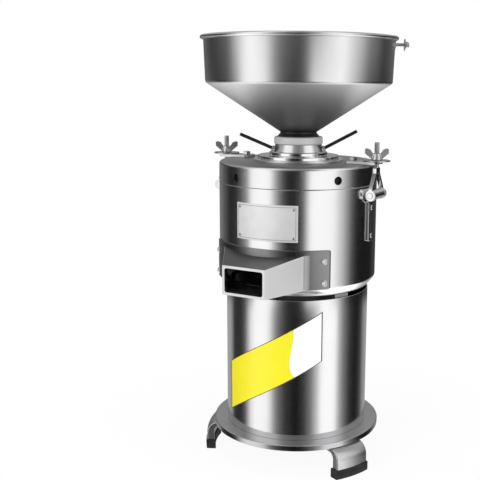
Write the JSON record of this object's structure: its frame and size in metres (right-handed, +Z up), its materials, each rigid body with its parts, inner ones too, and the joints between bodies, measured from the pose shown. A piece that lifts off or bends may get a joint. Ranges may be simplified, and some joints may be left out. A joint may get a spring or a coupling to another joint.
{
  "type": "upright peanut grinder",
  "caption": "Upright motor driven nut grinder: wide hopper on a threaded neck with handles, lid with swing clamps, grinding chamber with side spout, round motor housing on legs.",
  "frame": {"origin": "on the floor, under the middle of the outer box; the spindle stands 7.1 mm behind it", "axes": "+Z up along the spindle, -Y out of the spout, +X towards the right-hand clamp"},
  "size_m": [0.315, 0.3257, 0.6806],
  "materials": {
    "cast_aluminium": "satin casting",
    "shoe_rubber": "matte",
    "polished_steel": "polished to a mirror",
    "satin_steel": "satin",
    "brushed_hopper": "brushed round",
    "bright_fastener": "bright",
    "collar_aluminium": "fine satin",
    "laminated_steel": "ground",
    "winding": "varnished copper wire",
    "cast_iron_disc": "ground faces",
    "grey_plastic": "matte",
    "black_plastic": "fine grain",
    "red_plastic": "gloss",
    "seal_rubber": "matte",
    "black_coated_steel": "black coating"
  },
  "bodies": {
    "base": {"base_ring": "cast_aluminium", "leg_left": "cast_aluminium", "leg_right": "cast_aluminium", "leg_rear": "cast_aluminium", "foot_shoe_left": "shoe_rubber", "foot_shoe_right": "shoe_rubber", "foot_shoe_rear": "shoe_rubber", "motor_shell": "polished_steel", "motor_frame": "cast_aluminium", "stator_core": "laminated_steel", "winding_top": "winding", "winding_bottom": "winding", "motor_bottom_bell": "cast_aluminium", "motor_top_bell": "cast_aluminium", "bearing_lower": "bright_fastener", "bearing_upper": "bright_fastener", "capacitor": "grey_plastic", "cable_gland": "black_plastic", "switch_housing": "black_plastic", "chamber": "polished_steel", "shaft_seal": "seal_rubber", "spout": "satin_steel", "spout_screw_left_1": "bright_fastener", "spout_screw_left_2": "bright_fastener", "spout_screw_right_1": "bright_fastener", "spout_screw_right_2": "bright_fastener", "lid": "polished_steel", "lid_gasket": "seal_rubber", "clamp_lug_left": "satin_steel", "clamp_lug_right": "satin_steel", "lug_bolt_left": "bright_fastener", "lug_bolt_right": "bright_fastener", "clamp_strap_left": "satin_steel", "clamp_strap_right": "satin_steel", "clamp_pin_left": "bright_fastener", "clamp_pin_right": "bright_fastener"},
    "rotor": {"motor_shaft": "laminated_steel", "rotor_core": "laminated_steel", "cooling_fan": "grey_plastic", "sweeper": "satin_steel", "disc_carrier": "satin_steel", "lower_grinding_disc": "cast_iron_disc", "feed_screw": "satin_steel", "shaft_nut": "bright_fastener"},
    "collar": {"hopper_collar": "collar_aluminium"},
    "neck": {"adjusting_neck": "polished_steel", "handle_left": "black_coated_steel", "handle_right": "black_coated_steel", "upper_grinding_disc": "cast_iron_disc"},
    "hopper_set": {"hopper": "brushed_hopper", "hopper_bolt": "bright_fastener", "hopper_washer": "bright_fastener", "hopper_cap_nut": "bright_fastener"},
    "swing_left": {"swing_bolt_left": "bright_fastener"},
    "swing_right": {"swing_bolt_right": "bright_fastener"},
    "washer_left": {"clamp_washer_left": "bright_fastener"},
    "washer_right": {"clamp_washer_right": "bright_fastener"},
    "wing_left": {"wing_nut_left": "bright_fastener"},
    "wing_right": {"wing_nut_right": "bright_fastener"},
    "rocker": {"switch_rocker": "red_plastic"}
  },
  "joints": [
    {"name": "rotor_spin", "type": "hinge", "parent": "base", "child": "rotor", "pos_m": [0, 0.00713, 0.2], "axis": [0, 0, 1], "continuous": true},
    {"name": "neck_rise", "type": "slide", "parent": "base", "child": "collar", "axis": [0, 0, 1], "range_m": [0, 0.003]},
    {"name": "neck_turn", "type": "hinge", "parent": "collar", "child": "neck", "pos_m": [0, 0.00713, 0.4], "axis": [0, 0, 1], "range_deg": [0, 360]},
    {"name": "hopper_lift", "type": "slide", "parent": "collar", "child": "hopper_set", "axis": [0, 0, 1], "range_m": [0, 0.1]},
    {"name": "clamp_swing_left", "type": "hinge", "parent": "base", "child": "swing_left", "pos_m": [-0.1365, 0.00713, 0.44], "axis": [0, -1, 0], "range_deg": [0, 150]},
    {"name": "clamp_swing_right", "type": "hinge", "parent": "base", "child": "swing_right", "pos_m": [0.1365, 0.00713, 0.44], "axis": [0, 1, 0], "range_deg": [0, 150]},
    {"name": "wing_turn_left", "type": "hinge", "parent": "swing_left", "child": "washer_left", "pos_m": [-0.1365, 0.00713, 0.5], "axis": [0, 0, 1], "range_deg": [0, 1080]},
    {"name": "wing_turn_right", "type": "hinge", "parent": "swing_right", "child": "washer_right", "pos_m": [0.1365, 0.00713, 0.5], "axis": [0, 0, 1], "range_deg": [0, 1080]},
    {"name": "wing_rise_left", "type": "slide", "parent": "washer_left", "child": "wing_left", "axis": [0, 0, 1], "range_m": [0, 0.00375]},
    {"name": "wing_rise_right", "type": "slide", "parent": "washer_right", "child": "wing_right", "axis": [0, 0, 1], "range_m": [0, 0.00375]},
    {"name": "switch_rock", "type": "hinge", "parent": "base", "child": "rocker", "pos_m": [0, 0.13812, 0.168], "axis": [1, 0, 0], "range_deg": [0, 24]}
  ],
  "couplings": [
    {"joint": "neck_rise", "follows": "neck_turn", "m_per_rad": 0.00047746},
    {"joint": "wing_rise_left", "follows": "wing_turn_left", "m_per_rad": 0.00019894},
    {"joint": "wing_rise_right", "follows": "wing_turn_right", "m_per_rad": 0.00019894}
  ]
}
